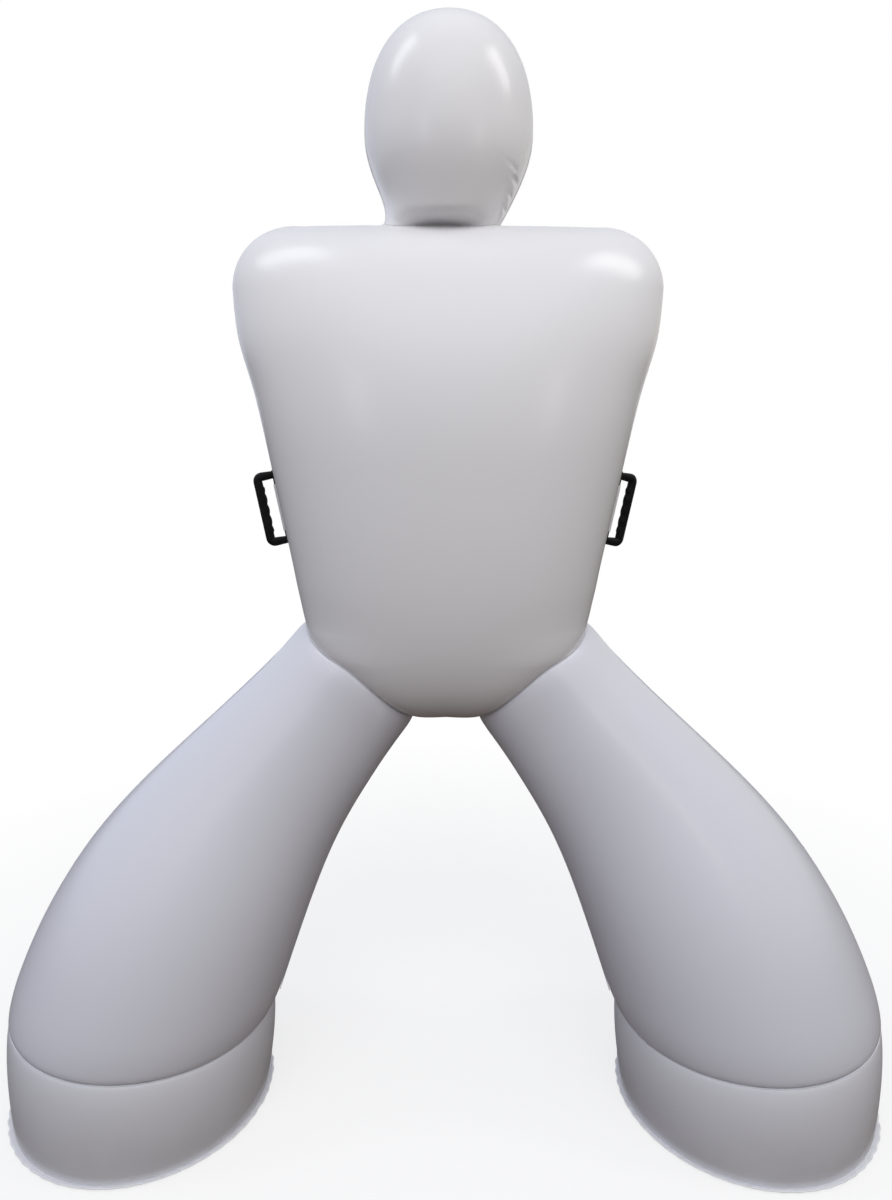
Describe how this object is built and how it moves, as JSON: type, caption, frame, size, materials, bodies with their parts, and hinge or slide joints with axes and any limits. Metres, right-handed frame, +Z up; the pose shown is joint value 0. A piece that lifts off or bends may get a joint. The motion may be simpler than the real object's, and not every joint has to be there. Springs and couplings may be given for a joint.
{
  "type": "free kick mannequin",
  "caption": "Free-standing inflatable training dummy with head, shield-shaped torso, two spread legs on round weighted feet, side carrying handles, air valve and fillers.",
  "frame": {"origin": "on the floor, midway between the two feet", "axes": "+X to the viewer's right across the two feet, +Y to the back, +Z up"},
  "size_m": [1.584, 0.4714, 1.821],
  "materials": {
    "film": "satin gloss white PVC film",
    "foot_film": "satin gloss white PVC film, heavier gauge",
    "handle": "black moulded plastic",
    "fitting": "white moulded plastic",
    "rubber": "dark rubber"
  },
  "bodies": {
    "shell": {"head_front_panel": "film", "head_back_panel": "film", "torso_front_panel": "film", "torso_back_panel": "film", "left_leg_front_panel": "film", "left_leg_back_panel": "film", "right_leg_front_panel": "film", "right_leg_back_panel": "film", "left_foot_wall": "foot_film", "left_foot_deck": "foot_film", "left_sole": "foot_film", "right_foot_wall": "foot_film", "right_foot_deck": "foot_film", "right_sole": "foot_film", "left_handle_patch": "film", "left_handle_sleeve": "film", "right_handle_patch": "film", "right_handle_sleeve": "film", "valve_base": "fitting", "left_filler_collar": "fitting", "right_filler_collar": "fitting"},
    "left_handle": {"left_handle": "handle"},
    "right_handle": {"right_handle": "handle"},
    "valve_seal": {"valve_sealing_ring": "rubber"},
    "valve_body": {"valve_body": "fitting", "valve_diaphragm": "rubber"},
    "valve_cap_seal": {"valve_cap_seal": "rubber"},
    "valve_cap": {"valve_cap": "fitting"},
    "left_filler_gasket": {"left_filler_gasket": "rubber"},
    "left_filler_cap": {"left_filler_cap": "fitting"},
    "right_filler_gasket": {"right_filler_gasket": "rubber"},
    "right_filler_cap": {"right_filler_cap": "fitting"}
  },
  "joints": [
    {"name": "left_handle_swing", "type": "hinge", "parent": "shell", "child": "left_handle", "pos_m": [-0.2767, 0.008, 1.082], "axis": [-0.1904, 0, 0.9817], "range_deg": [-75, 75]},
    {"name": "right_handle_swing", "type": "hinge", "parent": "shell", "child": "right_handle", "pos_m": [0.2767, 0.008, 1.082], "axis": [0.1904, 0, 0.9817], "range_deg": [-105, 45]},
    {"name": "valve_body_lift", "type": "slide", "parent": "shell", "child": "valve_seal", "axis": [0, 1, 0], "range_m": [0, 0.006]},
    {"name": "valve_body_turn", "type": "hinge", "parent": "valve_seal", "child": "valve_body", "pos_m": [0, 0.17099, 1], "axis": [0, 1, 0], "range_deg": [0, 720]},
    {"name": "valve_cap_lift", "type": "slide", "parent": "valve_body", "child": "valve_cap_seal", "axis": [0, 1, 0], "range_m": [0, 0.00375]},
    {"name": "valve_cap_turn", "type": "hinge", "parent": "valve_cap_seal", "child": "valve_cap", "pos_m": [0, 0.17099, 1], "axis": [0, 1, 0], "range_deg": [0, 540]},
    {"name": "left_filler_lift", "type": "slide", "parent": "shell", "child": "left_filler_gasket", "axis": [-0.6428, 0.766, 0], "range_m": [0, 0.009]},
    {"name": "left_filler_turn", "type": "hinge", "parent": "left_filler_gasket", "child": "left_filler_cap", "pos_m": [-0.70194, 0.1788, 0.118], "axis": [-0.6428, 0.766, 0], "range_deg": [0, 1080]},
    {"name": "right_filler_lift", "type": "slide", "parent": "shell", "child": "right_filler_gasket", "axis": [0.6428, 0.766, 0], "range_m": [0, 0.009]},
    {"name": "right_filler_turn", "type": "hinge", "parent": "right_filler_gasket", "child": "right_filler_cap", "pos_m": [0.70194, 0.1788, 0.118], "axis": [0.6428, 0.766, 0], "range_deg": [0, 1080]}
  ],
  "couplings": [
    {"joint": "valve_body_lift", "follows": "valve_body_turn", "m_per_rad": 0.00047746},
    {"joint": "valve_cap_lift", "follows": "valve_cap_turn", "m_per_rad": 0.00039788},
    {"joint": "left_filler_lift", "follows": "left_filler_turn", "m_per_rad": 0.00047746},
    {"joint": "right_filler_lift", "follows": "right_filler_turn", "m_per_rad": 0.00047746}
  ]
}
